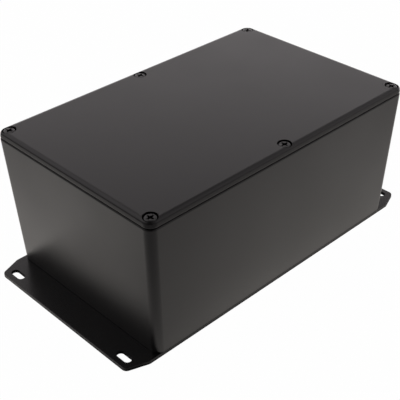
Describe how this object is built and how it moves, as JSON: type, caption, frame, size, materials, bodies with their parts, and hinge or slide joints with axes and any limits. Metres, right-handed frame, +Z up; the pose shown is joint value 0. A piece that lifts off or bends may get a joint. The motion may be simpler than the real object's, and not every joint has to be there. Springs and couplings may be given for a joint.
{
  "type": "flanged die cast enclosure",
  "caption": "Black powder coated die cast aluminium box with drafted walls, a bevelled screw-down lid and a slotted mounting plate under its floor.",
  "frame": {"origin": "middle of the mounting plate's underside, where the part stands on a surface", "axes": "+X along the box, towards one flange; +Y across the box; +Z up, out of the lid"},
  "size_m": [0.216, 0.12, 0.0841],
  "materials": {
    "cast_box": "satin black powder coat over the casting",
    "cast_lid": "satin black powder coat over the casting",
    "sheet_plate": "satin black powder coat on sheet steel",
    "black_screw": "black oxide steel"
  },
  "bodies": {
    "base": {"box": "cast_box", "flange_plate": "sheet_plate", "flange_screws": "black_screw"},
    "cover": {"lid": "cast_lid", "lid_screws": "black_screw"}
  },
  "joints": [
    {"name": "lid_lift", "type": "slide", "parent": "base", "child": "cover", "axis": [0, 0, 1], "range_m": [0, 0.1]}
  ]
}
